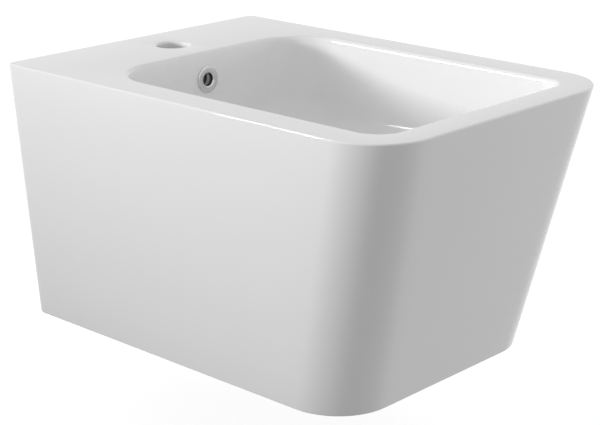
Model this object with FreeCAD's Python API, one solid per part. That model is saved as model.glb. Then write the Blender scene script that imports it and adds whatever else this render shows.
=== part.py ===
import FreeCAD, Part
import math
import os

# Wall-hung bidet: a hollow glazed casting on two wall studs, with an overflow,
# a push-open slotted waste and a bottle trap whose outlet runs back to the wall.
# Millimetres. The origin is on the wall face midway between the two fixing holes,
# +Z is up and the front faces -Y. Depths are measured down from the top of the rim.

# Outside of the ceramic body
RIM_WIDTH = 360
RIM_LENGTH = 504
HEIGHT = 280
FOOT_WIDTH = 307
FOOT_LENGTH = 440
FRONT_CORNER_R = 60
REAR_CORNER_R = 8
RIM_EDGE_R = 3
FOOT_EDGE_R = 2.5

# Casting thicknesses
SKIRT_WALL = 12
BACK_WALL = 16
RIM_THICKNESS = 16
BOWL_WALL = 11

# Bowl, with sizes at the rim before its edge is rounded
BOWL_HALF_WIDTH = 142.2
BOWL_REAR = 107.4
BOWL_FRONT = 470
BOWL_DEPTH = 112
BOWL_EDGE_R = 4.5
BOWL_REAR_R = 50
BOWL_FRONT_R = 25
BOWL_FLOOR_REAR_R = 58
BOWL_FLOOR_FRONT_R = 62
SIDE_DRAFT = math.radians(5)
FRONT_DRAFT = math.radians(12)
DISH_R = 900
BOWL_FILLET_R = 42

# Deck, wall fixings and window for the pipes
TAP_Y = -58
TAP_HOLE_R = 17.5
TAP_EDGE_R = 3
FIXING_SPACING = 180
FIXING_DEPTH = 85
FIXING_HOLE_R = 10
STUD_R = 6
STUD_CLEARANCE_R = 6.5
SLEEVE_SETBACK = 0.5
SLEEVE_FLANGE_R = 18
SLEEVE_FLANGE = 3
FIXING_WASHER_R = 15
FIXING_WASHER = 2.5
FIXING_NUT_FLATS = 18
FIXING_NUT = 10.8
LUG_LENGTH = 12
LUG_ROOT_R = 36
LUG_FACE_R = 25
WINDOW_HALF_WIDTH = 60
WINDOW_TOP = 124
WINDOW_BOTTOM = 258
WINDOW_CORNER_R = 22

# Overflow
OVERFLOW_DEPTH = 30
OVERFLOW_HOLE_R = 8
OVERFLOW_FLANGE_R = 14.5
OVERFLOW_BORE_R = 7.2
OVERFLOW_GASKET = 0.5
OVERFLOW_SLEEVE = 4
OVERFLOW_FLANGE = 1.5
OVERFLOW_EDGE_R = 0.9
OVERFLOW_LIP_R = 1.2
DUCT_WIDTH = 52
DUCT_WALL = 7
DUCT_REACH = 13.2
DUCT_SLOPE_RUN = 44
PASSAGE_MARGIN = 3
PASSAGE_HEIGHT = 11

# Waste outlet in the bowl's floor
DRAIN_Y = -255
DRAIN_HOLE_R = 23
SEAT_DEPTH = BOWL_DEPTH + 5
SEAT_R = 33.5
SEAT_FLARE = 7
SEAT_EDGE_R = 4
UPPER_GASKET = 2
BOSS_BOTTOM = 155
BOSS_TOP_R = 50
BOSS_FOOT_R = 40
WASTE_R = 20.95
WASTE_BORE_R = 18
WASTE_FLANGE_R = 31.5
WASTE_END = 184
SLOT_COUNT = 4
SLOT_WIDTH = 12
SLOT_TOP = 131
SLOT_BOTTOM = 147
PLUG_TRAVEL = 9
CAP_R = 30
CAP_GAP = 1.5
CAP_SKIRT_R = 16
SEAL_R = 22
SEAL_HEIGHT = 2.5
CLICKER_R = 7
CLICKER_BORE_R = 5.2
CLICKER_TOP = 122
COLLAR_HEIGHT = 3
COLLAR_THREAD_R = 6
PLUNGER_R = 3
PISTON_R = 4.9
PISTON_TOP = CLICKER_TOP + COLLAR_HEIGHT + 0.3
PISTON_BOTTOM = PISTON_TOP + 5
SPRING_SEAT = 147
CROSS_BAR_TOP = 151
CROSS_BAR_BOTTOM = 157
ARM_COUNT = 3
ARM_WIDTH = 3
SPRING_R = 3.8
SPRING_WIRE_R = 0.45
SPRING_TURNS = 6

# Clamping stack under the boss
LOWER_GASKET_END = BOSS_BOTTOM + 4
SLIP_WASHER_END = LOWER_GASKET_END + 1.5
BACK_NUT_END = SLIP_WASHER_END + 9
CLAMP_R = 34
BACK_NUT_FLATS = 52
GASKET_SPIGOT = 3

# Union between the waste's tail and the trap
INLET_NUT_TOP = BACK_NUT_END + 2.5
WASHER_END = WASTE_END + 3
COLLAR_END = WASHER_END + 2.5
NECK_FLANGE_END = COLLAR_END + 3.5
INLET_NUT_END = NECK_FLANGE_END + 4
INLET_COLLAR_R = 20.5
INLET_NUT_R = 27

# Bottle trap and its outlet
TRAP_R = 33
TRAP_WALL = 3
TRAP_NECK_R = 18
CUP_THREAD_R = 29
CUP_TOP = 238
CUP_SEAL = 1.5
CUP_BOTTOM = 274
DIP_TUBE_R = 15
DIP_TUBE_WALL = 1.8
DIP_TUBE_END = 256
OUTLET_DEPTH = 218
OUTLET_PIPE_R = 16
OUTLET_PIPE_WALL = 1.6
OUTLET_SOCKET_END = 197
OUTLET_SOCKET_R = 19
OUTLET_INSERTION = 24
OUTLET_SEAL = 4
OUTLET_SPIGOT = 60
CUP_GRIPS = 12
NUT_GRIPS = 8
GRIP_R = 1.8

V = FreeCAD.Vector
UP = V(0, 0, 1)
DOWN = V(0, 0, -1)
FORWARD = V(0, -1, 0)
RIM_Z = FIXING_DEPTH
LUG_FACE = BACK_WALL + LUG_LENGTH
SLEEVE_END = LUG_FACE + SLEEVE_FLANGE
DUCT_BACK = -BOWL_REAR + BOWL_WALL + DUCT_REACH
FIT_GAP = 0.2
CUT_PAST = 1
FLATNESS = 0.00001
CAP_LIP = BOWL_DEPTH - CAP_GAP - PLUG_TRAVEL
WASTE_TOP = V(0, DRAIN_Y, RIM_Z)
OUTLET_AXIS = V(0, 0, RIM_Z - OUTLET_DEPTH)
FIXINGS = [V(-FIXING_SPACING / 2, 0, 0), V(FIXING_SPACING / 2, 0, 0)]


def outline(half_width, rear, front, rear_radius, front_radius, depth):
    """Closed rounded rectangle, symmetric about x = 0, at a depth below the rim."""
    z = RIM_Z - depth
    corners = [
        (V(half_width, rear, z), rear_radius, V(-1, 0, 0), V(0, -1, 0)),
        (V(half_width, front, z), front_radius, V(0, 1, 0), V(-1, 0, 0)),
        (V(-half_width, front, z), front_radius, V(1, 0, 0), V(0, 1, 0)),
        (V(-half_width, rear, z), rear_radius, V(0, -1, 0), V(1, 0, 0)),
    ]
    arcs = []
    for corner, radius, back, ahead in corners:
        start = corner + back * radius
        end = corner + ahead * radius
        middle = corner + (back + ahead) * radius * (1 - math.sqrt(0.5))
        arcs.append(Part.Arc(start, middle, end).toShape())
    edges = []
    for arc, following in zip(arcs, arcs[1:] + arcs[:1]):
        edges += [arc, Part.LineSegment(arc.lastVertex().Point, following.firstVertex().Point).toShape()]
    return Part.Wire(edges)


def tapered(top, bottom):
    """Solid between two outlines whose flat sides are true planes."""
    faces = []
    for face in Part.makeLoft([top, bottom], True, True).Faces:
        if face.Surface.isPlanar(FLATNESS):
            first_u, last_u, first_v, last_v = face.ParameterRange
            outward = face.normalAt((first_u + last_u) / 2, (first_v + last_v) / 2)
            face = Part.Face(Part.Plane(face.Vertexes[0].Point, outward), face.OuterWire)
        faces.append(face)
    return Part.makeSolid(Part.makeShell(faces))


def turned(profile, base, direction):
    """Solid of revolution. The profile holds (radius, distance along the axis) points;
    a pair of such points is the middle and the end of an arc."""
    start = V(profile[0][0], 0, profile[0][1])
    edges = []
    for item in profile[1:] + profile[:1]:
        if isinstance(item[0], tuple):
            middle, end = [V(radius, 0, along) for radius, along in item]
            edges.append(Part.Arc(start, middle, end).toShape())
        else:
            end = V(item[0], 0, item[1])
            edges.append(Part.LineSegment(start, end).toShape())
        start = end
    solid = Part.Face(Part.Wire(edges)).revolve(V(), UP, 360)
    solid.Placement = FreeCAD.Placement(base, FreeCAD.Rotation(UP, direction))
    return solid


def ring(inner, outer, start, end, base, direction):
    """Plain ring or tube between two distances along an axis."""
    return turned([(inner, start), (outer, start), (outer, end), (inner, end)], base, direction)


def rod(radius, start, end, base, direction):
    """Plain cylinder between two distances along an axis."""
    return Part.makeCylinder(radius, end - start, base + direction * start, direction)


def hex_nut(across_flats, bore, start, end, base, direction):
    """Hexagon nut with both ends chamfered by a cone."""
    corner_r = across_flats / math.sqrt(3)
    points = [V(corner_r, 0, 0)]
    for turn in range(1, 7):
        points.append(V(corner_r * math.cos(turn * math.pi / 3), corner_r * math.sin(turn * math.pi / 3), 0))
    prism = Part.Face(Part.makePolygon(points)).extrude(V(0, 0, end - start))
    prism.Placement = FreeCAD.Placement(base + direction * start, FreeCAD.Rotation(UP, direction))
    flat_r = across_flats / 2
    chamfer = (corner_r - flat_r) * 0.6
    blank = turned(
        [(bore, start), (flat_r, start), (corner_r + 0.01, start + chamfer),
         (corner_r + 0.01, end - chamfer), (flat_r, end), (bore, end)],
        base, direction)
    return prism.common(blank)


def edges_at_depth(shape, depth):
    """Edges that lie wholly in the level plane at a depth below the rim."""
    z = RIM_Z - depth
    return [e for e in shape.Edges if abs(e.BoundBox.ZMin - z) < 0.01 and abs(e.BoundBox.ZMax - z) < 0.01]


def skirt_section(depth, inset, rear):
    """Outline of the tapering skirt at a depth, moved in from its outer face."""
    share = depth / HEIGHT
    half_width = (RIM_WIDTH + (FOOT_WIDTH - RIM_WIDTH) * share) / 2 - inset
    front = -(RIM_LENGTH + (FOOT_LENGTH - RIM_LENGTH) * share) + inset
    return outline(half_width, rear, front, REAR_CORNER_R, FRONT_CORNER_R - inset, depth)


def bowl_section(depth, grow):
    """Outline of the drafted bowl wall at a depth, moved out by the wall's thickness."""
    share = depth / BOWL_DEPTH
    half_width = BOWL_HALF_WIDTH - depth * math.tan(SIDE_DRAFT) + grow
    rear = -BOWL_REAR - depth * math.tan(SIDE_DRAFT) + grow
    front = -BOWL_FRONT + depth * math.tan(FRONT_DRAFT) - grow
    rear_r = BOWL_REAR_R + (BOWL_FLOOR_REAR_R - BOWL_REAR_R) * share + grow
    front_r = BOWL_FRONT_R + (BOWL_FLOOR_FRONT_R - BOWL_FRONT_R) * share + grow
    return outline(half_width, rear, front, rear_r, front_r, depth)


def bowl_form(grow):
    """The bowl as a solid: drafted walls on a floor dished towards the drain."""
    above_rim = -10
    below_floor = BOWL_DEPTH + 2 * BOWL_WALL
    walls = tapered(bowl_section(above_rim, grow), bowl_section(below_floor, grow))
    dish = Part.makeSphere(DISH_R + grow)
    dish.rotate(V(), V(0, 1, 0), -90)
    dish.translate(V(0, DRAIN_Y, RIM_Z - BOWL_DEPTH + DISH_R))
    form = walls.common(dish)
    floor = [f for f in form.Faces if isinstance(f.Surface, Part.Sphere)][0]
    return form.makeFillet(BOWL_FILLET_R + grow, floor.Edges)


def duct_profile(points, width):
    """Side profile of (y, depth) points, extruded across the middle of the body."""
    corners = [V(-width / 2, y, RIM_Z - depth) for y, depth in points]
    return Part.Face(Part.makePolygon(corners + corners[:1])).extrude(V(width, 0, 0))


def overflow_place():
    """Point and inward direction of the overflow on the drafted rear wall of the bowl."""
    y = -BOWL_REAR - OVERFLOW_DEPTH * math.tan(SIDE_DRAFT)
    return V(0, y, RIM_Z - OVERFLOW_DEPTH), V(0, -math.cos(SIDE_DRAFT), math.sin(SIDE_DRAFT))


def outer_form():
    """Skirt and rim as a solid block with rounded edges."""
    block = tapered(skirt_section(0, 0, 0), skirt_section(HEIGHT, 0, 0))
    block = block.makeFillet(FOOT_EDGE_R, edges_at_depth(block, HEIGHT))
    return block.makeFillet(RIM_EDGE_R, edges_at_depth(block, 0))


def cavity_form():
    """Hollow under the deck, open at the foot."""
    past_foot = HEIGHT + 10
    top = skirt_section(RIM_THICKNESS, SKIRT_WALL, -BACK_WALL)
    return tapered(top, skirt_section(past_foot, SKIRT_WALL, -BACK_WALL))


def boss_form():
    """Thick boss under the bowl's floor that the waste is clamped to."""
    return turned(
        [(0, BOWL_DEPTH), (BOSS_TOP_R, SEAT_DEPTH), (BOSS_FOOT_R, BOSS_BOTTOM), (0, BOSS_BOTTOM)],
        WASTE_TOP, DOWN)


def lug_forms():
    """Cones on the back wall that spread the load of the two fixings."""
    lugs = []
    for place in FIXINGS:
        lugs.append(Part.makeCone(LUG_ROOT_R, LUG_FACE_R, LUG_LENGTH, place + FORWARD * BACK_WALL, FORWARD))
    return lugs


def duct_form():
    """Outside of the overflow duct, from under the deck down the bowl's back and into the boss."""
    top = RIM_THICKNESS / 2
    within_bowl = -BOWL_REAR - 20
    under_floor = -BOWL_REAR - 40
    return duct_profile(
        [(within_bowl, top), (DUCT_BACK, top), (DUCT_BACK, BOWL_DEPTH),
         (DUCT_BACK - DUCT_SLOPE_RUN, BOSS_BOTTOM), (DRAIN_Y, BOSS_BOTTOM), (DRAIN_Y, SEAT_DEPTH),
         (under_floor, BOWL_DEPTH - BOWL_WALL)],
        DUCT_WIDTH)


def duct_passage():
    """Waterway inside the duct, from behind the overflow hole to the drain hole."""
    front = -BOWL_REAR + BOWL_WALL - PASSAGE_MARGIN
    back = DUCT_BACK - DUCT_WALL
    top = OVERFLOW_DEPTH - PASSAGE_HEIGHT
    floor = BOSS_BOTTOM - DUCT_WALL
    ceiling = floor - PASSAGE_HEIGHT
    drain = DRAIN_Y + PASSAGE_MARGIN
    slope_end = back - DUCT_SLOPE_RUN + PASSAGE_MARGIN
    return duct_profile(
        [(front, top), (back, top), (back, BOWL_DEPTH - PASSAGE_MARGIN), (slope_end, floor), (drain, floor),
         (drain, ceiling), (slope_end - PASSAGE_MARGIN, ceiling), (front, BOWL_DEPTH - 2 * PASSAGE_MARGIN)],
        DUCT_WIDTH - 2 * DUCT_WALL)


def overflow_hole():
    """Cutter for the hole through the bowl's rear wall into the duct."""
    place, inward = overflow_place()
    return rod(OVERFLOW_HOLE_R, -BOWL_WALL - PASSAGE_MARGIN, PASSAGE_MARGIN, place, inward)


def drain_cutters():
    """Flared seat for the waste's flange, and the hole below it."""
    above_floor = BOWL_DEPTH - 8
    seat = turned(
        [(0, above_floor), (SEAT_R + SEAT_FLARE, above_floor), (SEAT_R, SEAT_DEPTH), (0, SEAT_DEPTH)],
        WASTE_TOP, DOWN)
    return [seat, rod(DRAIN_HOLE_R, BOWL_DEPTH, BOSS_BOTTOM + CUT_PAST, WASTE_TOP, DOWN)]


def tap_hole():
    """Cutter for the tap hole, with the glaze-rounded edge at its top."""
    edge_middle = TAP_EDGE_R * (1 - math.sqrt(0.5))
    past_deck = RIM_THICKNESS + CUT_PAST
    return turned(
        [(0, -CUT_PAST), (TAP_HOLE_R + TAP_EDGE_R, -CUT_PAST), (TAP_HOLE_R + TAP_EDGE_R, 0),
         ((TAP_HOLE_R + edge_middle, edge_middle), (TAP_HOLE_R, TAP_EDGE_R)),
         (TAP_HOLE_R, past_deck), (0, past_deck)],
        V(0, TAP_Y, RIM_Z), DOWN)


def window():
    """Cutter for the opening in the back wall where the pipes come through."""
    corner = V(-WINDOW_HALF_WIDTH, -BACK_WALL - CUT_PAST, RIM_Z - WINDOW_BOTTOM)
    through = BACK_WALL + 2 * CUT_PAST
    box = Part.makeBox(2 * WINDOW_HALF_WIDTH, through, WINDOW_BOTTOM - WINDOW_TOP, corner)
    return box.makeFillet(WINDOW_CORNER_R, [e for e in box.Edges if e.BoundBox.YLength > BACK_WALL])


def round_seat_edge(body):
    """Rounds the rim of the drain's seat, where the glaze runs over it."""
    edge = [e for e in body.Edges
            if SEAT_R < e.BoundBox.XLength / 2 < SEAT_R + SEAT_FLARE
            and abs(RIM_Z - e.BoundBox.ZMin - BOWL_DEPTH) < CUT_PAST]
    return body.makeFillet(SEAT_EDGE_R, edge)


def round_bowl_edge(body):
    """Rounds the edge between the rim's top and the bowl's wall."""
    reach = BOWL_HALF_WIDTH + BOWL_EDGE_R
    edge = [e for e in edges_at_depth(body, 0)
            if abs(e.CenterOfMass.x) < reach
            and -BOWL_FRONT - BOWL_EDGE_R < e.CenterOfMass.y < -BOWL_REAR + BOWL_EDGE_R]
    return body.makeFillet(BOWL_EDGE_R, edge)


def ceramic_body():
    """One slip-cast piece: skirt, rim, deck, bowl, drain boss, overflow duct and back wall."""
    outer = outer_form()
    bowl_shell = bowl_form(BOWL_WALL).common(outer)
    body = outer.cut(cavity_form())
    body = body.multiFuse([bowl_shell, boss_form(), duct_form()] + lug_forms())
    body = body.cut(bowl_form(0))
    fixing_holes = [rod(FIXING_HOLE_R, -CUT_PAST, LUG_FACE + CUT_PAST, place, FORWARD) for place in FIXINGS]
    holes = [duct_passage(), overflow_hole(), tap_hole(), window()] + drain_cutters() + fixing_holes
    body = body.cut(holes).removeSplitter()
    return round_bowl_edge(round_seat_edge(body))


def overflow_ring():
    """Polished ring pushed into the overflow hole: a flat flange with soft edges on a thin sleeve."""
    place, inward = overflow_place()
    seat = OVERFLOW_GASKET
    face = seat + OVERFLOW_FLANGE
    sleeve_r = OVERFLOW_HOLE_R - FIT_GAP
    edge_middle = OVERFLOW_EDGE_R * (1 - math.sqrt(0.5))
    lip_middle = OVERFLOW_LIP_R * (1 - math.sqrt(0.5))
    return turned(
        [(OVERFLOW_BORE_R, -OVERFLOW_SLEEVE), (sleeve_r, -OVERFLOW_SLEEVE), (sleeve_r, seat),
         (OVERFLOW_FLANGE_R, seat), (OVERFLOW_FLANGE_R, face - OVERFLOW_EDGE_R),
         ((OVERFLOW_FLANGE_R - edge_middle, face - edge_middle), (OVERFLOW_FLANGE_R - OVERFLOW_EDGE_R, face)),
         (OVERFLOW_BORE_R + OVERFLOW_LIP_R, face),
         ((OVERFLOW_BORE_R + lip_middle, face - lip_middle), (OVERFLOW_BORE_R, face - OVERFLOW_LIP_R))],
        place, inward)


def overflow_gasket():
    """Thin rubber ring between the overflow ring's flange and the bowl wall."""
    place, inward = overflow_place()
    return ring(OVERFLOW_HOLE_R, OVERFLOW_FLANGE_R - 1, 0, OVERFLOW_GASKET, place, inward)


def waste_body():
    """Slotted waste: flange with a cone for the plug's seal, tube, and a three-armed cross bar."""
    flange_top = BOWL_DEPTH
    flange_under = SEAT_DEPTH - UPPER_GASKET
    cone_end = flange_top + 1.6
    body = turned(
        [(WASTE_BORE_R, WASTE_END), (WASTE_BORE_R, flange_under + 1), (WASTE_BORE_R + 2, cone_end),
         (WASTE_FLANGE_R - 2.5, flange_top), (WASTE_FLANGE_R - 1.2, flange_top),
         ((WASTE_FLANGE_R - 0.3, flange_top + 0.5), (WASTE_FLANGE_R, flange_top + 1.4)),
         (WASTE_FLANGE_R, flange_under), (WASTE_R, flange_under), (WASTE_R, WASTE_END)],
        WASTE_TOP, DOWN)
    slot_corner = V(0, -SLOT_WIDTH / 2, RIM_Z - SLOT_BOTTOM)
    slot = Part.makeBox(WASTE_R + 2, SLOT_WIDTH, SLOT_BOTTOM - SLOT_TOP, slot_corner)
    slot = slot.makeFillet(SLOT_WIDTH / 3, [e for e in slot.Edges if e.BoundBox.XLength > WASTE_R])
    keep = rod(WASTE_BORE_R - 2, 0, WASTE_END, V(0, 0, RIM_Z), DOWN)
    slot = slot.cut(keep)
    for turn in range(SLOT_COUNT):
        cutter = slot.copy()
        cutter.rotate(V(), UP, 45 + turn * 360 / SLOT_COUNT)
        cutter.translate(V(0, DRAIN_Y, 0))
        body = body.cut(cutter)
    hub = rod(CLICKER_R - 1, CROSS_BAR_TOP, CROSS_BAR_BOTTOM, WASTE_TOP, DOWN)
    arms = []
    for turn in range(ARM_COUNT):
        arm_corner = V(0, -ARM_WIDTH / 2, RIM_Z - CROSS_BAR_BOTTOM)
        arm = Part.makeBox(WASTE_BORE_R + 1, ARM_WIDTH, CROSS_BAR_BOTTOM - CROSS_BAR_TOP, arm_corner)
        arm.rotate(V(), UP, 90 + turn * 360 / ARM_COUNT)
        arm.translate(V(0, DRAIN_Y, 0))
        arms.append(arm)
    body = body.multiFuse([hub] + arms)
    stud_hole = rod(PLUNGER_R, CROSS_BAR_TOP - 1, CROSS_BAR_BOTTOM + 1, WASTE_TOP, DOWN)
    return body.cut(stud_hole).removeSplitter()


def waste_plug_cap():
    """Domed push cap, drawn raised, with a skirt that carries the seal and a blind hole for the plunger."""
    bead_top = CAP_LIP + SEAL_HEIGHT
    skirt_end = bead_top + 0.5
    skirt_inner = CAP_SKIRT_R - 2.5
    crown = CAP_LIP - 5
    return turned(
        [(0, crown), ((CAP_R * 0.62, crown + 1.1), (CAP_R - 0.8, CAP_LIP - 1.6)),
         ((CAP_R, CAP_LIP - 0.7), (CAP_R - 0.8, CAP_LIP)), (CAP_SKIRT_R, CAP_LIP), (CAP_SKIRT_R, bead_top),
         (CAP_SKIRT_R + 1, bead_top), (CAP_SKIRT_R + 1, skirt_end), (skirt_inner, skirt_end),
         (skirt_inner, CAP_LIP), (CLICKER_R, CAP_LIP), (CLICKER_R - 1, skirt_end), (PLUNGER_R, skirt_end),
         (PLUNGER_R, CAP_LIP - 2), (0, CAP_LIP - 2)],
        WASTE_TOP, DOWN)


def plug_seal():
    """Rubber ring stretched over the cap's skirt; its lower edge meets the waste's cone."""
    bottom = CAP_LIP + SEAL_HEIGHT
    return turned(
        [(CAP_SKIRT_R, CAP_LIP), (SEAL_R, CAP_LIP), (SEAL_R, bottom - 1),
         (SEAL_R - 1, bottom), (CAP_SKIRT_R, bottom)],
        WASTE_TOP, DOWN)


def clicker_housing():
    """Turned cup that holds the spring, screwed to the cross bar by the stud below it."""
    stud_end = CROSS_BAR_BOTTOM + 2
    ledge = CLICKER_TOP + COLLAR_HEIGHT
    return turned(
        [(0, SPRING_SEAT), (CLICKER_BORE_R, SPRING_SEAT), (CLICKER_BORE_R, ledge), (COLLAR_THREAD_R, ledge),
         (COLLAR_THREAD_R, CLICKER_TOP), (CLICKER_R, CLICKER_TOP), (CLICKER_R, CROSS_BAR_TOP),
         (PLUNGER_R, CROSS_BAR_TOP), (PLUNGER_R, stud_end), (0, stud_end)],
        WASTE_TOP, DOWN)


def clicker_collar():
    """Screwed collar that keeps the plunger's piston in the housing and stops its rise."""
    return ring(PLUNGER_R + 0.4, COLLAR_THREAD_R, CLICKER_TOP, CLICKER_TOP + COLLAR_HEIGHT, WASTE_TOP, DOWN)


def clicker_plunger():
    """Rod with a piston at its foot; the cap is screwed to its upper end."""
    top = CAP_LIP - 2
    return turned(
        [(0, top), (PLUNGER_R, top), (PLUNGER_R, PISTON_TOP), (PISTON_R, PISTON_TOP),
         (PISTON_R, PISTON_BOTTOM), (0, PISTON_BOTTOM)],
        WASTE_TOP, DOWN)


def tangent_arc(start, direction, end):
    """Arc that leaves start along direction and reaches end."""
    chord = end - start
    normal = direction.cross(chord).cross(direction).normalize()
    radius = chord.dot(chord) / (2 * chord.dot(normal))
    centre = start + normal * radius
    middle = centre + ((start + end) * 0.5 - centre).normalize() * radius
    return Part.Arc(start, middle, end).toShape()


def helix_biarc(angle, sweep, depth, climb):
    """Two tangent arcs that follow the spring's helix over one step."""
    ends = []
    for turn, level in ((angle, depth), (angle + sweep, depth - climb)):
        ends.append(WASTE_TOP + V(SPRING_R * math.cos(turn), SPRING_R * math.sin(turn), -level))
    headings = []
    for turn in (angle, angle + sweep):
        heading = V(-SPRING_R * math.sin(turn), SPRING_R * math.cos(turn), climb / sweep)
        headings.append(heading.normalize())
    chord = ends[1] - ends[0]
    a = 2 * (1 - headings[0].dot(headings[1]))
    b = 2 * chord.dot(headings[0] + headings[1])
    reach = (math.sqrt(b * b + 4 * a * chord.dot(chord)) - b) / (2 * a)
    meeting = (ends[0] + headings[0] * reach + ends[1] - headings[1] * reach) * 0.5
    return [tangent_arc(ends[0], headings[0], meeting), tangent_arc(ends[1], headings[1] * -1, meeting)]


def clicker_spring():
    """Compression spring as one unbroken wire along a helix of quarter turns."""
    top = PISTON_BOTTOM + SPRING_WIRE_R + 0.3
    bottom = SPRING_SEAT - SPRING_WIRE_R - 0.1
    quarters = SPRING_TURNS * 4
    climb = (bottom - top) / quarters
    edges = []
    for step in range(quarters):
        edges += helix_biarc(step * math.pi / 2, math.pi / 2, bottom - climb * step, climb)
    path = Part.Wire(edges)
    first = path.Edges[0]
    begin = first.FirstParameter
    wire_section = Part.Circle(first.valueAt(begin), first.tangentAt(begin), SPRING_WIRE_R)
    pipe = Part.BRepOffsetAPI.MakePipeShell(path)
    pipe.add(Part.Wire(wire_section.toShape()))
    pipe.build()
    pipe.makeSolid()
    points_per_turn = 24
    points = path.discretize(points_per_turn * SPRING_TURNS)
    least = min(points[i].distanceToPoint(points[j])
                for i in range(len(points)) for j in range(i + points_per_turn // 2, len(points)))
    print("spring: least gap to itself", round(least - 2 * SPRING_WIRE_R, 2), "mm")
    return pipe.shape()


def waste_upper_gasket():
    """Soft ring between the waste's flange and its seat in the bowl."""
    return ring(WASTE_R, WASTE_FLANGE_R - 2, SEAT_DEPTH - UPPER_GASKET, SEAT_DEPTH, WASTE_TOP, DOWN)


def waste_lower_gasket():
    """Rubber ring under the boss, with a spigot that fills the ceramic hole."""
    spigot_top = BOSS_BOTTOM - GASKET_SPIGOT
    spigot_r = DRAIN_HOLE_R - FIT_GAP
    return turned(
        [(WASTE_R, spigot_top), (spigot_r, spigot_top), (spigot_r, BOSS_BOTTOM),
         (CLAMP_R, BOSS_BOTTOM), (CLAMP_R + 2, LOWER_GASKET_END), (WASTE_R, LOWER_GASKET_END)],
        WASTE_TOP, DOWN)


def slip_washer():
    """Hard washer that lets the nut turn without dragging the gasket."""
    return ring(WASTE_R, CLAMP_R, LOWER_GASKET_END, SLIP_WASHER_END, WASTE_TOP, DOWN)


def waste_back_nut():
    """Hexagon nut that clamps the waste to the ceramic."""
    return hex_nut(BACK_NUT_FLATS, WASTE_R, SLIP_WASHER_END, BACK_NUT_END, WASTE_TOP, DOWN)


def grips(count, at_radius, start, end, base, direction):
    """Finger grips: half-round bars spaced around a nut or a cup."""
    bars = []
    across = direction.cross(V(1, 0, 0))
    for turn in range(count):
        angle = turn * 2 * math.pi / count
        offset = (V(1, 0, 0) * math.cos(angle) + across * math.sin(angle)) * at_radius
        bars.append(rod(GRIP_R, start, end, base + offset, direction))
    return bars


def trap_inlet_nut():
    """Union nut on the waste's tail; its lip pulls the trap's neck up to the tail."""
    lip_r = TRAP_NECK_R + 0.5
    nut = turned(
        [(WASTE_R, INLET_NUT_TOP), (INLET_NUT_R - 1, INLET_NUT_TOP), (INLET_NUT_R, INLET_NUT_TOP + 1),
         (INLET_NUT_R, INLET_NUT_END - 2), (INLET_NUT_R - 2, INLET_NUT_END), (lip_r, INLET_NUT_END),
         (lip_r, NECK_FLANGE_END), (WASTE_R, NECK_FLANGE_END)],
        WASTE_TOP, DOWN)
    bars = grips(NUT_GRIPS, INLET_NUT_R, INLET_NUT_TOP + 2, INLET_NUT_END - 3, WASTE_TOP, DOWN)
    return nut.multiFuse(bars).removeSplitter()


def trap_inlet_washer():
    """Flat rubber washer between the waste's tail and the dip tube's collar."""
    return ring(DIP_TUBE_R - DIP_TUBE_WALL, INLET_COLLAR_R, WASTE_END, WASHER_END, WASTE_TOP, DOWN)


def trap_dip_tube():
    """Tube that hangs from its collar into the cup, so that water seals its end."""
    inner = DIP_TUBE_R - DIP_TUBE_WALL
    return turned(
        [(inner, WASHER_END), (INLET_COLLAR_R, WASHER_END), (INLET_COLLAR_R, COLLAR_END),
         (DIP_TUBE_R, COLLAR_END), (DIP_TUBE_R, DIP_TUBE_END), (inner, DIP_TUBE_END)],
        WASTE_TOP, DOWN)


def trap_body():
    """Bottle of the trap: neck, rounded shoulder, threaded foot and a socket towards the wall."""
    shoulder = INLET_NUT_END + 1
    ceiling = shoulder + TRAP_WALL
    drop = 11
    thread_end = CUP_TOP + 14
    neck_bore = DIP_TUBE_R + 0.3
    inside = TRAP_R - TRAP_WALL
    foot_bore = CUP_THREAD_R - TRAP_WALL
    outer_bulge = (TRAP_NECK_R + (TRAP_R - TRAP_NECK_R) * 0.72, shoulder + drop * 0.3)
    inner_bulge = (neck_bore + (inside - neck_bore) * 0.72, ceiling + drop * 0.3)
    bottle = turned(
        [(0, COLLAR_END), (INLET_COLLAR_R, COLLAR_END), (INLET_COLLAR_R, NECK_FLANGE_END),
         (TRAP_NECK_R, NECK_FLANGE_END), (TRAP_NECK_R, shoulder), (outer_bulge, (TRAP_R, shoulder + drop)),
         (TRAP_R, CUP_TOP), (CUP_THREAD_R, CUP_TOP), (CUP_THREAD_R, thread_end), (0, thread_end)],
        WASTE_TOP, DOWN)
    water_space = turned(
        [(0, COLLAR_END - 1), (neck_bore, COLLAR_END - 1), (neck_bore, ceiling),
         (inner_bulge, (inside, ceiling + drop)), (inside, CUP_TOP - 6), (foot_bore, CUP_TOP - 3),
         (foot_bore, thread_end + 1), (0, thread_end + 1)],
        WASTE_TOP, DOWN)
    socket = rod(OUTLET_SOCKET_R, OUTLET_SOCKET_END, -DRAIN_Y, OUTLET_AXIS, FORWARD)
    pipe_stop = OUTLET_SOCKET_END + OUTLET_INSERTION
    bore = rod(OUTLET_PIPE_R, OUTLET_SOCKET_END - 1, pipe_stop, OUTLET_AXIS, FORWARD)
    throat = rod(OUTLET_PIPE_R - 2, pipe_stop - 1, -DRAIN_Y, OUTLET_AXIS, FORWARD)
    return bottle.fuse(socket).cut([water_space, bore, throat])


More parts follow.
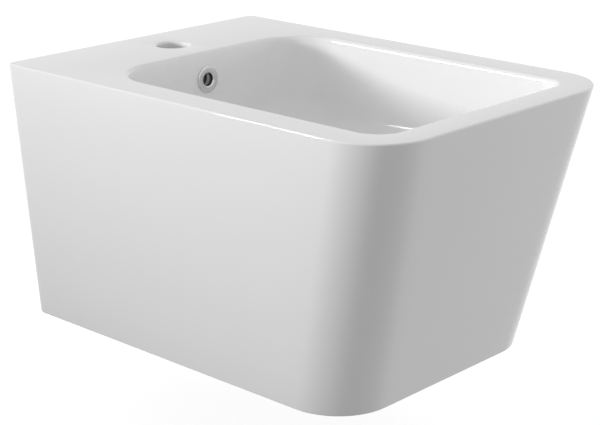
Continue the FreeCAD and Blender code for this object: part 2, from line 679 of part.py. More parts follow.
def trap_cup():
    """Screw-on cup that is taken off for cleaning, with finger grips around it."""
    rim = CUP_TOP + CUP_SEAL
    floor = CUP_BOTTOM - TRAP_WALL
    inner_corner = 7
    outer_corner = inner_corner + TRAP_WALL
    inner_cut = inner_corner * (1 - math.sqrt(0.5))
    outer_cut = outer_corner * (1 - math.sqrt(0.5))
    cup = turned(
        [(0, CUP_BOTTOM), (TRAP_R - outer_corner, CUP_BOTTOM),
         ((TRAP_R - outer_cut, CUP_BOTTOM - outer_cut), (TRAP_R, CUP_BOTTOM - outer_corner)),
         (TRAP_R, rim), (CUP_THREAD_R, rim), (CUP_THREAD_R, floor - inner_corner),
         ((CUP_THREAD_R - inner_cut, floor - inner_cut), (CUP_THREAD_R - inner_corner, floor)), (0, floor)],
        WASTE_TOP, DOWN)
    bars = grips(CUP_GRIPS, TRAP_R, rim + 3, CUP_BOTTOM - outer_corner, WASTE_TOP, DOWN)
    return cup.multiFuse(bars).removeSplitter()


def trap_cup_seal():
    """Flat ring between the cup's rim and the bottle's shoulder."""
    return ring(CUP_THREAD_R, TRAP_R, CUP_TOP, CUP_TOP + CUP_SEAL, WASTE_TOP, DOWN)


def outlet_seal():
    """Rubber ring that the outlet nut presses between the socket and the pipe."""
    start = OUTLET_SOCKET_END - OUTLET_SEAL
    return ring(OUTLET_PIPE_R, OUTLET_SOCKET_R, start, OUTLET_SOCKET_END, OUTLET_AXIS, FORWARD)


def outlet_nut():
    """Compression nut over the socket's end."""
    lip_start = OUTLET_SOCKET_END - OUTLET_SEAL - 3
    lip_end = lip_start + 3
    lip_r = OUTLET_PIPE_R + 0.3
    end = OUTLET_SOCKET_END + 14
    outer_r = OUTLET_SOCKET_R + 4.5
    nut = turned(
        [(lip_r, lip_start), (outer_r - 2, lip_start), (outer_r, lip_start + 2), (outer_r, end - 1),
         (outer_r - 1, end), (OUTLET_SOCKET_R, end), (OUTLET_SOCKET_R, lip_end), (lip_r, lip_end)],
        OUTLET_AXIS, FORWARD)
    bars = grips(NUT_GRIPS, outer_r, lip_end, end - 2, OUTLET_AXIS, FORWARD)
    return nut.multiFuse(bars).removeSplitter()


def outlet_pipe():
    """Straight pipe from the trap's socket to the wall; a bead stops it in the wall's collar."""
    bore_r = OUTLET_PIPE_R - OUTLET_PIPE_WALL
    wall_end = 1
    end = OUTLET_SOCKET_END + OUTLET_INSERTION
    bead_end = OUTLET_SPIGOT + 3
    bead = (OUTLET_PIPE_R + 1.2, OUTLET_SPIGOT + 1.5)
    return turned(
        [(bore_r, wall_end), (OUTLET_PIPE_R - 0.8, wall_end), (OUTLET_PIPE_R, wall_end + 2),
         (OUTLET_PIPE_R, OUTLET_SPIGOT), (bead, (OUTLET_PIPE_R, bead_end)),
         (OUTLET_PIPE_R, end), (bore_r, end)],
        OUTLET_AXIS, FORWARD)


def fixing_sleeves():
    """Flanged plastic bushes that keep the steel studs off the ceramic."""
    sleeve_r = FIXING_HOLE_R - FIT_GAP
    chamfer = 1
    profile = [
        (STUD_CLEARANCE_R, SLEEVE_SETBACK), (sleeve_r, SLEEVE_SETBACK), (sleeve_r, LUG_FACE),
        (SLEEVE_FLANGE_R, LUG_FACE), (SLEEVE_FLANGE_R, SLEEVE_END - chamfer),
        (SLEEVE_FLANGE_R - chamfer, SLEEVE_END), (STUD_CLEARANCE_R, SLEEVE_END),
    ]
    return Part.makeCompound([turned(profile, place, FORWARD) for place in FIXINGS])


def fixing_washers():
    """Steel washers under the nuts."""
    end = SLEEVE_END + FIXING_WASHER
    washers = []
    for place in FIXINGS:
        washers.append(ring(STUD_CLEARANCE_R, FIXING_WASHER_R, SLEEVE_END, end, place, FORWARD))
    return Part.makeCompound(washers)


def fixing_nuts():
    """Nuts on the wall's studs that pull the body against the wall."""
    start = SLEEVE_END + FIXING_WASHER
    bore = STUD_R + 0.05
    nuts = []
    for place in FIXINGS:
        nuts.append(hex_nut(FIXING_NUT_FLATS, bore, start, start + FIXING_NUT, place, FORWARD))
    return Part.makeCompound(nuts)


PIECES = [
    ceramic_body, overflow_ring, overflow_gasket,
    waste_body, waste_plug_cap, plug_seal, clicker_housing, clicker_collar, clicker_plunger, clicker_spring,
    waste_upper_gasket, waste_lower_gasket, slip_washer, waste_back_nut,
    trap_inlet_nut, trap_inlet_washer, trap_dip_tube, trap_body, trap_cup, trap_cup_seal,
    outlet_nut, outlet_seal, outlet_pipe,
    fixing_sleeves, fixing_washers, fixing_nuts,
]

os.makedirs("parts", exist_ok=True)
for piece in PIECES:
    shape = piece()
    print(piece.__name__, "valid" if shape.isValid() else "INVALID", len(shape.Solids), "solids",
          round(shape.Volume / 1000, 2), "cm3")
    shape.exportStep("parts/" + piece.__name__ + ".step")
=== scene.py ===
import math

import bmesh
import bpy
from mathutils import Matrix, Vector


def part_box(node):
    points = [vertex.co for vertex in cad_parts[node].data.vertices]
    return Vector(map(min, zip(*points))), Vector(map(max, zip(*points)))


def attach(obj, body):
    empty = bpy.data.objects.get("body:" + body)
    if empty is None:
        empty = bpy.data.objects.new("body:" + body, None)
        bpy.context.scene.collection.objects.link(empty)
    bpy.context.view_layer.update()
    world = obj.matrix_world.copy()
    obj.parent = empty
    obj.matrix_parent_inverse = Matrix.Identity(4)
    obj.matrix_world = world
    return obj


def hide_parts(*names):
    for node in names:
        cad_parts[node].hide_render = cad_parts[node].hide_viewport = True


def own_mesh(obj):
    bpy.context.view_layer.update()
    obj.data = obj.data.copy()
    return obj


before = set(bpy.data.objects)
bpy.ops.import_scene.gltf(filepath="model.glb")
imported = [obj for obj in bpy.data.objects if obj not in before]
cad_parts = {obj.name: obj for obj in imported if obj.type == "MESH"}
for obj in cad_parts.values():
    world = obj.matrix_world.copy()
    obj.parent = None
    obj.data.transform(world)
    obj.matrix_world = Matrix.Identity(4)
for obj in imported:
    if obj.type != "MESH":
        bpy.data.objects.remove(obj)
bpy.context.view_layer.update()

# Ceramic body
# One slip-cast piece of white vitreous china: tapering skirt, flat rim and deck, and a bowl with a
# dished floor. It is glazed where it shows and bare fired clay on the back, the foot and inside, and
# it hangs on the wall by two fixings through its back wall.
MM = 0.001
UP = Vector((0, 0, 1))
FROM_WALL = Vector((0, -1, 0))
CORNER_STEPS = 14
SIDE_STEPS = 12
EDGE_STEPS = 8
WALL_STEPS = 8

# The skirt's outline shrinks evenly from the rim down to the foot.
body_low, body_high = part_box("ceramic_body")
rim_z = body_high.z
body_height = rim_z - body_low.z
rim_half_width = 180 * MM
rim_front = -504 * MM
foot_half_width = 153.5 * MM
foot_front = -440 * MM
front_corner_r = 60 * MM
rear_corner_r = 8 * MM
rim_edge_r = 1.5 * MM
foot_edge_r = 2.5 * MM


def outline(half_width, rear, front, rear_radius, front_radius, z):
    """Points and outward normals round a rounded rectangle, anticlockwise seen from above."""
    corners = (
        (half_width - front_radius, front + front_radius, front_radius, -90),
        (half_width - rear_radius, rear - rear_radius, rear_radius, 0),
        (rear_radius - half_width, rear - rear_radius, rear_radius, 90),
        (front_radius - half_width, front + front_radius, front_radius, 180),
    )
    arcs = []
    for x, y, radius, start in corners:
        arc = []
        for step in range(CORNER_STEPS + 1):
            angle = math.radians(start + 90 * step / CORNER_STEPS)
            normal = Vector((math.cos(angle), math.sin(angle), 0))
            arc.append((Vector((x, y, z)) + radius * normal, normal))
        arcs.append(arc)
    ring = []
    for arc, following in zip(arcs, arcs[1:] + arcs[:1]):
        ring += arc
        (start, normal), (end, _) = arc[-1], following[0]
        for step in range(1, SIDE_STEPS):
            ring.append((start.lerp(end, step / SIDE_STEPS), normal))
    return ring


def skirt_outline(depth, inset=0.0, rear=0.0):
    """Outline of the skirt at a depth below the rim, moved in from its outer face."""
    share = depth / body_height
    half_width = rim_half_width + (foot_half_width - rim_half_width) * share - inset
    front = rim_front + (foot_front - rim_front) * share + inset
    return outline(half_width, rear, front, rear_corner_r, front_corner_r - inset, rim_z - depth)


def leaning_wall(start, end):
    """Start point, outward normal and run per unit of height for each point of a wall."""
    height = abs(end[0][0].z - start[0][0].z)
    return [(point, normal, (far - point) / height) for (point, normal), (far, _) in zip(start, end)]


def on_wall(place, along, inset=0.0):
    """Point of a leaning wall at a distance from its start, moved in from its face."""
    point, normal, run = place
    return point + run * along - normal * inset


def wall_loop(wall, along):
    """Loop of points round a wall at a distance from its start."""
    return [on_wall(place, along) for place in wall]


def rounded_edge(wall, radius, side):
    """Loops that round a wall's start into the level face there, from the wall to the face.
    Side is 1 where the ceramic is inside the wall and -1 where it is outside."""
    loops = []
    for step in range(EDGE_STEPS + 1):
        loop = []
        for place in wall:
            lean = -math.atan(place[2].dot(place[1])) * side
            sweep = (math.pi / 2 + lean) * (1 - step / EDGE_STEPS)
            along = radius * (1 - math.cos(sweep))
            reach = radius * (math.tan(lean) + 1 / math.cos(lean) - math.sin(sweep))
            loop.append(on_wall(place, along, side * (reach - along * math.tan(lean))))
        loops.append(loop)
    return loops


rim = skirt_outline(0)
foot = skirt_outline(body_height)
skirt = leaning_wall(rim, foot)
shown = rounded_edge(leaning_wall(foot, rim), foot_edge_r, side=1)[::-1]
shown += [wall_loop(skirt, body_height * (1 - step / WALL_STEPS)) for step in range(1, WALL_STEPS)]
shown += rounded_edge(skirt, rim_edge_r, side=1)

# The bowl's walls are drafted, and its corners have one radius at the rim and another at the floor.
bowl_half_width = 142.2 * MM
bowl_rear = -110 * MM
bowl_front = -470 * MM
bowl_depth = 112 * MM
bowl_edge_r = 4.5 * MM
bowl_rear_corner = (58 * MM, 62 * MM)
bowl_front_corner = (25 * MM, 62 * MM)
side_draft = math.tan(math.radians(5))
rear_draft = math.tan(math.radians(1.5))
front_draft = math.tan(math.radians(12))


def bowl_outline(depth, grow=0.0):
    """Outline of the bowl's drafted wall at a depth below the rim, moved out by a thickness."""
    share = depth / bowl_depth
    corners = (bowl_rear_corner, bowl_front_corner)
    radii = [high + (low - high) * share + grow for high, low in corners]
    half_width = bowl_half_width - depth * side_draft + grow
    rear = bowl_rear - depth * rear_draft + grow
    front = bowl_front + depth * front_draft - grow
    return outline(half_width, rear, front, *radii, rim_z - depth)


bowl = leaning_wall(bowl_outline(0), bowl_outline(bowl_depth))
shown += rounded_edge(bowl, bowl_edge_r, side=-1)[::-1]
shown += [wall_loop(bowl, bowl_depth * step / WALL_STEPS) for step in range(1, WALL_STEPS // 2 + 1)]

# The floor is a shallow dish that falls to a recessed seat for the waste, with a boss below it.
dish_r = 900 * MM
bowl_fillet_r = 42 * MM
drain_y = -255 * MM
drain_hole_r = 23 * MM
lip_r = 39 * MM
lip_depth = 111.2 * MM
lip_edge_r = 4 * MM
lip_sweep = 62
seat_r = 33.5 * MM
seat_depth = 117 * MM
boss_top_r = 49 * MM
boss_top = 121.5 * MM
boss_foot_r = 40 * MM
boss_bottom = 155 * MM
FLOOR_STEPS = 10
LIP_STEPS = 5
FILLET_FIT = 1e-7


def bowl_floor(wall, radius, dish, hub_r):
    """Loops from a bowl's wall round its fillet and over the dished floor to a circle at the drain."""
    dish_centre = Vector((0, drain_y, rim_z - bowl_depth + dish_r))
    strips = []
    for place in wall:
        lean = -math.atan(place[2].dot(place[1]))
        shallow, deep = 0.0, body_height
        while deep - shallow > FILLET_FIT:
            depth = (shallow + deep) / 2
            ball = on_wall(place, depth, radius / math.cos(lean))
            if (ball - dish_centre).length < dish - radius:
                shallow = depth
            else:
                deep = depth
        to_wall = place[1] * math.cos(lean) - UP * math.sin(lean)
        to_floor = (ball - dish_centre).normalized()
        strip = []
        for step in range(EDGE_STEPS + 1):
            strip.append(ball + radius * to_wall.slerp(to_floor, step / EDGE_STEPS))
        edge = strip[-1] - dish_centre
        edge.z = 0
        for step in range(1, FLOOR_STEPS + 1):
            flat = edge.lerp(edge.normalized() * hub_r, step / FLOOR_STEPS)
            strip.append(dish_centre + flat - UP * math.sqrt(dish * dish - flat.length_squared))
        strips.append(strip)
    return [list(loop) for loop in zip(*strips)]


def drain_loops(around, profile):
    """Circles about the drain from (radius, depth) pairs, in the directions of an existing loop."""
    loops = []
    for radius, depth in profile:
        loop = []
        for point in around:
            out = Vector((point.x, point.y - drain_y, 0)).normalized()
            loop.append(Vector((0, drain_y, rim_z - depth)) + out * radius)
        loops.append(loop)
    return loops


def circle_part(centre, radius, start, sweep=90, steps=EDGE_STEPS):
    """Pairs on part of a circle, from a start angle through a sweep, both in degrees."""
    pairs = []
    for step in range(steps + 1):
        turn = math.radians(start + sweep * step / steps)
        pairs.append((centre[0] + radius * math.cos(turn), centre[1] + radius * math.sin(turn)))
    return pairs


shown += bowl_floor(bowl, bowl_fillet_r, dish_r, lip_r)
lip_centre = (lip_r, lip_depth + lip_edge_r)
lip = circle_part(lip_centre, lip_edge_r, start=270, sweep=-lip_sweep, steps=LIP_STEPS)[1:]
shown += drain_loops(shown[-1], lip + [(seat_r, seat_depth), (drain_hole_r, seat_depth)])
boss = [(drain_hole_r, boss_bottom), (boss_foot_r, boss_bottom), (boss_top_r, boss_top)]
hidden = drain_loops(shown[-1], boss)

# Underneath, the shell follows the bowl at its wall's thickness and goes down inside the skirt.
bowl_thickness = 11 * MM
deck_thickness = 16 * MM
skirt_thickness = 12 * MM
back_thickness = 16 * MM
GLAZE, CLAY = 0, 1
back_margin = 0.1 * MM
underside = leaning_wall(bowl_outline(0, bowl_thickness), bowl_outline(bowl_depth, bowl_thickness))
under_floor = bowl_floor(underside, bowl_fillet_r + bowl_thickness, dish_r + bowl_thickness, boss_top_r)
hidden += under_floor[-2::-1]
hidden.append(wall_loop(underside, deck_thickness))
for depth in (deck_thickness, body_height):
    inside = skirt_outline(depth, skirt_thickness, -back_thickness)
    hidden.append([point for point, _ in inside])


def closed_mesh(bm):
    """Joins the shown and hidden loops into a closed band of quads, glazed where it shows."""
    rings = [[bm.verts.new(point) for point in loop] for loop in shown + hidden]
    for number, ring in enumerate(rings):
        following = rings[(number + 1) % len(rings)]
        for corner in range(len(ring)):
            beside = (corner + 1) % len(ring)
            quad = bm.faces.new((ring[corner], ring[beside], following[beside], following[corner]))
            on_back = all(abs(vertex.co.y) < back_margin for vertex in quad.verts)
            quad.material_index = CLAY if on_back or number >= len(shown) else GLAZE


# The overflow duct stands behind the bowl, and a lug stands round each fixing on the back wall.
TURN_STEPS = 64
duct_width = 52 * MM
duct_points = [(-104, 8), (-84, 8), (-84, 112), (-128, 155), (-219, 155), (-219, 118),
               (-153, 110), (-133, 105), (-112, 84), (-107, 60)]
passage_width = 38 * MM
passage_points = [(-102, 19), (-90, 19), (-90, 110), (-130, 148), (-140, 137), (-102, 106)]
lug_r = 36 * MM
lug_nose_r = 25 * MM
lug_start = back_thickness / 2
lug_end = 28 * MM
fixing_spacing = 180 * MM
fixings = [Vector((-fixing_spacing / 2, 0, 0)), Vector((fixing_spacing / 2, 0, 0))]


def add_turned(bm, profile, base, axis, finish=GLAZE):
    """Adds a closed solid of revolution from (radius, distance along the axis) pairs."""
    tilt = UP.rotation_difference(Vector(axis)).to_matrix()
    rings = []
    for radius, along in profile:
        ring = []
        for step in range(TURN_STEPS if radius > 0 else 1):
            angle = 2 * math.pi * step / TURN_STEPS
            spot = Vector((radius * math.cos(angle), radius * math.sin(angle), along))
            ring.append(bm.verts.new(Vector(base) + tilt @ spot))
        rings.append(ring)
    for ring, following in zip(rings, rings[1:] + rings[:1]):
        if len(ring) == len(following) == 1:
            continue
        for step in range(TURN_STEPS):
            beside = (step + 1) % TURN_STEPS
            corners = [ring[step % len(ring)], ring[beside % len(ring)],
                       following[beside % len(following)], following[step % len(following)]]
            unique = [corner for number, corner in enumerate(corners) if corner not in corners[:number]]
            bm.faces.new(unique).material_index = finish


def add_prism(bm, corners, along, finish):
    """Adds a prism from a loop of corner points and the vector to its far end."""
    near = [bm.verts.new(corner) for corner in corners]
    far = [bm.verts.new(Vector(corner) + Vector(along)) for corner in corners]
    faces = [bm.faces.new(near), bm.faces.new(far[::-1])]
    for number in range(len(near)):
        beside = (number + 1) % len(near)
        faces.append(bm.faces.new((near[number], far[number], far[beside], near[beside])))
    for face in faces:
        face.material_index = finish


def add_duct(bm, points, width):
    """Adds a duct across the middle of the body, from (y, depth) pairs in millimetres."""
    side = [Vector((-width / 2, y * MM, rim_z - depth * MM)) for y, depth in points]
    add_prism(bm, side, (width, 0, 0), CLAY)


added = bmesh.new()
add_duct(added, duct_points, duct_width)
lug_profile = [(0, lug_start), (lug_r, lug_start), (lug_r, back_thickness)]
lug_profile += [(lug_nose_r, lug_end), (0, lug_end)]
for place in fixings:
    add_turned(added, lug_profile, place, FROM_WALL, CLAY)
passage = bmesh.new()
add_duct(passage, passage_points, passage_width)

# Holes take the tap, the overflow ring and the fixings, and a window in the back takes the pipes.
clear = 2 * MM
tap_y = -58 * MM
tap_r = 17.5 * MM
tap_edge_r = 3 * MM
tap_edge_rise = 0.05 * MM
overflow_depth = 30 * MM
overflow_hole_r = 8 * MM
overflow_hole_near = 5 * MM
overflow_hole_far = -14 * MM
fixing_hole_r = 10 * MM
window_half_width = 60 * MM
window_corner_r = 22 * MM
window_top = rim_z - 124 * MM
window_bottom = rim_z - 258 * MM
overflow_place = Vector((0, bowl_rear - overflow_depth * rear_draft, rim_z - overflow_depth))
overflow_axis = Vector((0, -1, rear_draft)).normalized()


def hole_profile(radius, near, far):
    """Profile of a plain round hole between two distances along its axis."""
    return [(0, near), (radius, near), (radius, far), (0, far)]


holes = bmesh.new()
tap_far = -deck_thickness - 2 * clear
tap_profile = [(0, clear), (tap_r + tap_edge_r, clear)]
tap_profile += circle_part((tap_r + tap_edge_r, tap_edge_rise - tap_edge_r), tap_edge_r, start=90)
tap_profile += [(tap_r, tap_far), (0, tap_far)]
add_turned(holes, tap_profile, (0, tap_y, rim_z), UP)
overflow_profile = hole_profile(overflow_hole_r, overflow_hole_near, overflow_hole_far)
add_turned(holes, overflow_profile, overflow_place, overflow_axis)
for place in fixings:
    add_turned(holes, hole_profile(fixing_hole_r, -clear, lug_end + 2 * clear), place, FROM_WALL, CLAY)
corner_x = window_half_width - window_corner_r
corner_top = window_top - window_corner_r
corner_bottom = window_bottom + window_corner_r
window_corners = ((corner_x, corner_top, 0), (-corner_x, corner_top, 90),
                  (-corner_x, corner_bottom, 180), (corner_x, corner_bottom, 270))
window_loop = []
for x, z, start in window_corners:
    for across, up in circle_part((x, z), window_corner_r, start):
        window_loop.append(Vector((across, clear, up)))
add_prism(holes, window_loop, FROM_WALL * (back_thickness + 2 * clear), CLAY)

# The glaze is clear and glossy over white; the bare clay is dull, cream and a little grainy.
RAMP_START, RAMP_END = 0.3, 0.7
SHARP_ANGLE = math.radians(35)


def principled(name, **sockets):
    """Node material; the keywords are the shader's sockets, with _ for each space."""
    material = bpy.data.materials.new(name)
    material.use_nodes = True
    shader = material.node_tree.nodes["Principled BSDF"]
    for socket, value in sockets.items():
        shader.inputs[socket.replace("_", " ")].default_value = value
    return material


def noise(material, scale, detail=2.0, stretch=(1, 1, 1)):
    """Noise output in the piece's own coordinates; scale is in waves per metre."""
    nodes, links = material.node_tree.nodes, material.node_tree.links
    place = nodes.new("ShaderNodeMapping")
    place.inputs["Scale"].default_value = stretch
    links.new(nodes.new("ShaderNodeTexCoord").outputs["Object"], place.inputs["Vector"])
    texture = nodes.new("ShaderNodeTexNoise")
    texture.inputs["Scale"].default_value = scale
    texture.inputs["Detail"].default_value = detail
    links.new(place.outputs["Vector"], texture.inputs["Vector"])
    return texture.outputs["Fac"]


def vary(material, socket, low, high, height):
    """Drives a shader socket between two numbers or two colours by a texture's height."""
    nodes, links = material.node_tree.nodes, material.node_tree.links
    ramp = nodes.new("ShaderNodeValToRGB")
    ramp.color_ramp.elements[0].position = RAMP_START
    ramp.color_ramp.elements[1].position = RAMP_END
    for element, value in zip(ramp.color_ramp.elements, (low, high)):
        element.color = (*value, 1) if isinstance(value, tuple) else (value, value, value, 1)
    links.new(height, ramp.inputs["Fac"])
    links.new(ramp.outputs["Color"], nodes["Principled BSDF"].inputs[socket])


def bump(material, height, distance):
    """Raises a surface by a texture's height; distance is in metres."""
    nodes, links = material.node_tree.nodes, material.node_tree.links
    lift = nodes.new("ShaderNodeBump")
    lift.inputs["Distance"].default_value = distance
    links.new(height, lift.inputs["Height"])
    links.new(lift.outputs["Normal"], nodes["Principled BSDF"].inputs["Normal"])


def new_object(name, bm, materials):
    """Object from a bmesh, with its materials."""
    bmesh.ops.recalc_face_normals(bm, faces=bm.faces)
    mesh = bpy.data.meshes.new(name)
    bm.to_mesh(mesh)
    bm.free()
    for material in materials:
        mesh.materials.append(material)
    obj = bpy.data.objects.new(name, mesh)
    bpy.context.scene.collection.objects.link(obj)
    return obj


def smooth(obj):
    """Shades an object smooth except at sharp edges."""
    obj.data.shade_smooth()
    obj.data.set_sharp_from_angle(angle=SHARP_ANGLE)


def combine(obj, tool, operation):
    """Joins a tool to an object or cuts it away, and removes the tool."""
    modifier = obj.modifiers.new(operation, "BOOLEAN")
    modifier.operation = operation
    modifier.object = tool
    modifier.solver = "EXACT"
    graph = bpy.context.evaluated_depsgraph_get()
    result = bpy.data.meshes.new_from_object(obj.evaluated_get(graph))
    obj.modifiers.clear()
    obj.data = result
    bpy.data.objects.remove(tool)


glaze = principled("white_glaze", IOR=1.52)
glaze_tint = noise(glaze, scale=9, detail=3)
vary(glaze, "Base Color", (0.895, 0.895, 0.895), (0.905, 0.905, 0.905), glaze_tint)
vary(glaze, "Roughness", 0.03, 0.05, noise(glaze, scale=35))
bump(glaze, noise(glaze, scale=55, detail=1), distance=0.02 * MM)
clay = principled("fired_clay")
vary(clay, "Base Color", (0.73, 0.71, 0.67), (0.8, 0.785, 0.75), noise(clay, scale=30, detail=6))
vary(clay, "Roughness", 0.62, 0.8, noise(clay, scale=200, detail=4))
bump(clay, noise(clay, scale=900, detail=4), distance=0.15 * MM)
shell = bmesh.new()
closed_mesh(shell)
ceramic = new_object("ceramic_casting", shell, (glaze, clay))
combine(ceramic, new_object("duct_and_lugs", added, (glaze, clay)), "UNION")
combine(ceramic, new_object("duct_passage", passage, (glaze, clay)), "DIFFERENCE")
combine(ceramic, new_object("holes", holes, (glaze, clay)), "DIFFERENCE")
smooth(ceramic)
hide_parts("ceramic_body")
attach(ceramic, "bidet")

# Overflow ring
# Turned brass ring, polished and chrome plated. Its sleeve is pushed into the overflow hole, and its
# flange holds a thin rubber gasket against the bowl's rear wall.
chrome = principled("polished_chrome", Metallic=1.0)
chrome_tint = noise(chrome, scale=120, detail=3)
vary(chrome, "Base Color", (0.66, 0.665, 0.675), (0.71, 0.715, 0.72), chrome_tint)
vary(chrome, "Roughness", 0.05, 0.12, noise(chrome, scale=300, detail=3))
bump(chrome, noise(chrome, scale=260), distance=0.01 * MM)
rubber = principled("black_rubber")
rubber_tint = noise(rubber, scale=250, detail=4)
vary(rubber, "Base Color", (0.018, 0.018, 0.018), (0.035, 0.034, 0.033), rubber_tint)
vary(rubber, "Roughness", 0.5, 0.68, noise(rubber, scale=400, detail=3))
bump(rubber, noise(rubber, scale=1500, detail=3), distance=0.03 * MM)
ring_bore_r = 7.2 * MM
ring_sleeve_r = 7.8 * MM
ring_sleeve = 4 * MM
ring_flange_r = 14.5 * MM
ring_face = 1.5 * MM
ring_edge_r = 0.9 * MM
ring_lip_r = 1.2 * MM
gasket_r = 13.5 * MM
gasket_face = 0.5 * MM
ring_profile = [(ring_bore_r, -ring_sleeve), (ring_sleeve_r, -ring_sleeve)]
ring_profile += [(ring_sleeve_r, gasket_face), (ring_flange_r, gasket_face)]
ring_profile += circle_part((ring_flange_r - ring_edge_r, ring_face - ring_edge_r), ring_edge_r, start=0)
ring_profile += circle_part((ring_bore_r + ring_lip_r, ring_face - ring_lip_r), ring_lip_r, start=90)
gasket_profile = [(overflow_hole_r, 0), (gasket_r, 0)]
gasket_profile += [(gasket_r, gasket_face), (overflow_hole_r, gasket_face)]
for name, profile, material, node, slot in (
        ("overflow_trim", ring_profile, chrome, "overflow_ring", "chrome"),
        ("overflow_packing", gasket_profile, rubber, "overflow_gasket", "rubber")):
    turned = bmesh.new()
    add_turned(turned, profile, overflow_place, overflow_axis)
    piece = new_object(name, turned, (material,))
    smooth(piece)
    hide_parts(node)
    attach(piece, "bidet")


# Push-open waste
# Chrome-plated brass waste, seated in the drain's recess on a rubber gasket. Its domed cap is pushed
# down to close it, and the rubber seal under the cap rides with it.
def dress(material, *names):
    """Gives CAD nodes a finish."""
    for name in names:
        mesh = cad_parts[name].data
        mesh.materials.clear()
        mesh.materials.append(material)


dress(chrome, "waste_body", "waste_plug_cap")
dress(rubber, "plug_seal", "waste_upper_gasket")

# Clicker
# Turned brass housing, collar and plunger inside the waste, which guide the cap. The spring under the
# plunger is drawn steel wire wound in six turns, and it shortens as the cap is pressed.
brass = principled("turned_brass", Metallic=1.0)
vary(brass, "Base Color", (0.62, 0.45, 0.19), (0.74, 0.57, 0.29), noise(brass, scale=180, detail=4))
vary(brass, "Roughness", 0.22, 0.38, noise(brass, scale=500, stretch=(0.2, 0.2, 6)))
bump(brass, noise(brass, scale=700, stretch=(0.1, 0.1, 5)), distance=0.03 * MM)
dress(brass, "clicker_housing", "clicker_collar", "clicker_plunger")
spring_wire = principled("spring_wire", Metallic=1.0)
wire_tint = noise(spring_wire, scale=600, detail=3)
vary(spring_wire, "Base Color", (0.5, 0.51, 0.52), (0.62, 0.63, 0.64), wire_tint)
vary(spring_wire, "Roughness", 0.2, 0.35, noise(spring_wire, scale=900))
COIL_STEPS = 32
coil_r = 3.8 * MM
wire_r = 0.45 * MM
wire_sides = 12
coil_turns = 6


def add_coil(bm, base, axis, pitch, turns, section):
    """Adds a bar wound about an axis; section is a loop of (radius, distance along the axis) pairs."""
    tilt = UP.rotation_difference(Vector(axis)).to_matrix()
    rings = []
    for step in range(turns * COIL_STEPS + 1):
        angle = 2 * math.pi * step / COIL_STEPS
        rise = pitch * step / COIL_STEPS
        ring = []
        for radius, along in section:
            spot = Vector((radius * math.cos(angle), radius * math.sin(angle), along + rise))
            ring.append(bm.verts.new(Vector(base) + tilt @ spot))
        rings.append(ring)
    for ring, following in zip(rings, rings[1:]):
        for corner in range(len(ring)):
            beside = (corner + 1) % len(ring)
            bm.faces.new((ring[corner], ring[beside], following[beside], following[corner]))
    for ring in (rings[0], rings[-1]):
        bm.faces.new(ring)


coil_low, coil_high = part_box("clicker_spring")
coil_pitch = (coil_high.z - coil_low.z - 2 * wire_r) / coil_turns
wire = circle_part((coil_r, wire_r), wire_r, start=0, sweep=360, steps=wire_sides)[:-1]
coil = bmesh.new()
add_coil(coil, (0, drain_y, coil_low.z), UP, coil_pitch, coil_turns, wire)
spring = new_object("clicker_coil", coil, (spring_wire,))
smooth(spring)
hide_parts("clicker_spring")
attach(spring, "bidet")
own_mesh(spring)

# Clamping stack
# Rubber gasket, hard plastic slip washer and turned brass nut under the drain's boss. The nut is
# screwed up the waste and clamps it to the ceramic.
plastic = principled("white_plastic", IOR=1.47)
plastic_tint = noise(plastic, scale=40, detail=4)
vary(plastic, "Base Color", (0.78, 0.78, 0.755), (0.84, 0.84, 0.82), plastic_tint)
vary(plastic, "Roughness", 0.32, 0.45, noise(plastic, scale=300, detail=3))
bump(plastic, noise(plastic, scale=1200, detail=3), distance=0.03 * MM)
dress(rubber, "waste_lower_gasket")
dress(plastic, "slip_washer")
dress(brass, "waste_back_nut")

# Bottle trap and outlet
# Moulded white plastic trap hung on the waste's tail by a nut, with a cup that comes off for cleaning.
# A straight pipe runs from its side to the wall, and rubber rings seal the joints.
dress(plastic, "trap_inlet_nut", "trap_dip_tube", "trap_body", "trap_cup", "outlet_nut", "outlet_pipe")
dress(rubber, "trap_inlet_washer", "trap_cup_seal", "outlet_seal")

# Wall fixings
# Nylon sleeves in the lugs, with plated steel washers and nuts for the wall's two studs. The nuts are
# tapped with a coarse 12 mm thread.
nylon = principled("natural_nylon", IOR=1.53)
vary(nylon, "Base Color", (0.7, 0.68, 0.61), (0.78, 0.765, 0.7), noise(nylon, scale=80, detail=4))
vary(nylon, "Roughness", 0.4, 0.55, noise(nylon, scale=300, detail=3))
bump(nylon, noise(nylon, scale=900, detail=3), distance=0.03 * MM)
zinc = principled("zinc_plate", Metallic=1.0)
vary(zinc, "Base Color", (0.55, 0.56, 0.55), (0.7, 0.71, 0.7), noise(zinc, scale=250, detail=5))
vary(zinc, "Roughness", 0.28, 0.45, noise(zinc, scale=400, detail=4))
bump(zinc, noise(zinc, scale=800, detail=3), distance=0.02 * MM)
dress(nylon, "fixing_sleeves")
dress(zinc, "fixing_washers", "fixing_nuts")
thread_pitch = 1.75 * MM
thread_crest_r = 5.1 * MM
thread_root_r = 6.2 * MM
thread_turns = 5
# The thread's section is given as radii at shares of its pitch.
thread_shape = [(thread_root_r, 0.1), (thread_crest_r, 0.44), (thread_crest_r, 0.6), (thread_root_r, 0.94)]
ridge = [(radius, share * thread_pitch) for radius, share in thread_shape]
_, nuts_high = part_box("fixing_nuts")
tapping = bmesh.new()
for place in fixings:
    add_coil(tapping, (place.x, nuts_high.y, place.z), FROM_WALL, thread_pitch, thread_turns, ridge)
threads = new_object("fixing_threads", tapping, (zinc,))
smooth(threads)
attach(threads, "bidet")

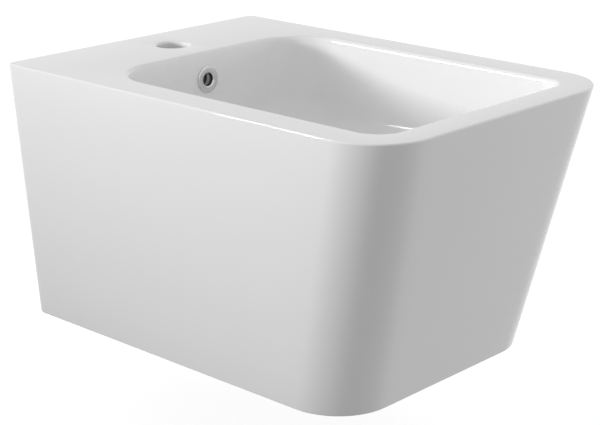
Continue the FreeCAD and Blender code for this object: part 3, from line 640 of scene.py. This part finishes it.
# Floor and surround
# A wide matt floor below the bidet and an even surround. Seen directly, in a mirror or through glass
# they are white, and on other surfaces they give only a plain soft light.
rim_height = 0.4
floor_size = 30.0
floor_grey = (0.3, 0.3, 0.3, 1)
floor_glow = (0.85, 0.85, 0.85, 1)
white = (1, 1, 1, 1)
room_light = 0.57
seen_light = 1.0
floor_mesh = bmesh.new()
bmesh.ops.create_grid(floor_mesh, x_segments=1, y_segments=1, size=floor_size / 2)
floor_material = principled("pale_floor", Base_Color=floor_grey, Roughness=0.9)
floor = new_object("floor", floor_mesh, (floor_material,))
floor.location.z = rim_z - rim_height


def seen_directly(tree):
    """Output that is 1 for camera, mirror and transmission rays and 0 for diffuse light."""
    ray = tree.nodes.new("ShaderNodeLightPath")
    seen = ray.outputs["Is Camera Ray"]
    for kind in ("Is Glossy Ray", "Is Transmission Ray"):
        either = tree.nodes.new("ShaderNodeMath")
        either.operation = "MAXIMUM"
        tree.links.new(seen, either.inputs[0])
        tree.links.new(ray.outputs[kind], either.inputs[1])
        seen = either.outputs["Value"]
    return seen


floor_tree = floor_material.node_tree
glow = floor_tree.nodes.new("ShaderNodeEmission")
glow.inputs["Color"].default_value = floor_glow
floor_tree.links.new(seen_directly(floor_tree), glow.inputs["Strength"])
both = floor_tree.nodes.new("ShaderNodeAddShader")
floor_tree.links.new(floor_tree.nodes["Principled BSDF"].outputs["BSDF"], both.inputs[0])
floor_tree.links.new(glow.outputs["Emission"], both.inputs[1])
floor_tree.links.new(both.outputs["Shader"], floor_tree.nodes["Material Output"].inputs["Surface"])

world = bpy.data.worlds.new("studio")
world.use_nodes = True
bpy.context.scene.world = world
world_tree = world.node_tree
room = world_tree.nodes["Background"]
room.inputs["Color"].default_value = white
room.inputs["Strength"].default_value = room_light
surround = world_tree.nodes.new("ShaderNodeBackground")
surround.inputs["Color"].default_value = white
surround.inputs["Strength"].default_value = seen_light
choose = world_tree.nodes.new("ShaderNodeMixShader")
world_tree.links.new(seen_directly(world_tree), choose.inputs["Fac"])
world_tree.links.new(room.outputs["Background"], choose.inputs[1])
world_tree.links.new(surround.outputs["Background"], choose.inputs[2])
world_tree.links.new(choose.outputs["Shader"], world_tree.nodes["World Output"].inputs["Surface"])


# Lamps
# A softbox with a grid stands low on the left behind the bidet, with a smaller one above it, and a
# wider one stands in front on the right. Places and sizes are in metres.
def softbox(name, place, aim, size, power, spread=math.pi, mirrored=True):
    """Rectangular lamp; size is its width and height. A small spread is a grid that narrows its beam,
    and a lamp that isn't mirrored stands for light from a whole side of the room."""
    light = bpy.data.lights.new(name, "AREA")
    light.shape = "RECTANGLE"
    light.size, light.size_y = size
    light.energy = power
    light.spread = spread
    obj = bpy.data.objects.new(name, light)
    obj.location = place
    obj.rotation_euler = (obj.location - Vector(aim)).to_track_quat("Z", "Y").to_euler()
    obj.visible_glossy = mirrored
    bpy.context.scene.collection.objects.link(obj)


softbox("key", place=(-2.45, 1.53, 0.65), aim=(0, -0.4, 0.55), size=(0.7, 0.4), power=4.0,
        spread=math.radians(40))
softbox("accent", place=(-2.23, 1.56, 1.1), aim=(0.13, -0.28, 0.0), size=(0.36, 0.42), power=5.0)
softbox("fill", place=(2.2, -1.6, 0.0), aim=(0, -0.245, 0), size=(1.2, 1.2), power=18, mirrored=False)

# Camera
# It stands where the photograph was taken from, in front of the bidet on the left and above its rim,
# with a long lens. Its place was found by fitting the body's outline to the photograph.
camera_place = Vector((-1.20267, -1.34866, 0.45195))
camera_aim = Vector((0, -0.24497, -0.06484))
camera_roll = math.radians(0.13)
lens = bpy.data.cameras.new("camera")
lens.lens = 99.28
lens.sensor_width = 36
camera = bpy.data.objects.new("camera", lens)
camera_turn = (camera_aim - camera_place).to_track_quat("-Z", "Y").to_matrix().to_4x4()
camera_tilt = Matrix.Rotation(camera_roll, 4, "Z")
camera.matrix_world = Matrix.Translation(camera_place) @ camera_turn @ camera_tilt
bpy.context.scene.collection.objects.link(camera)
bpy.context.scene.camera = camera
bpy.context.scene.view_settings.view_transform = "Standard"
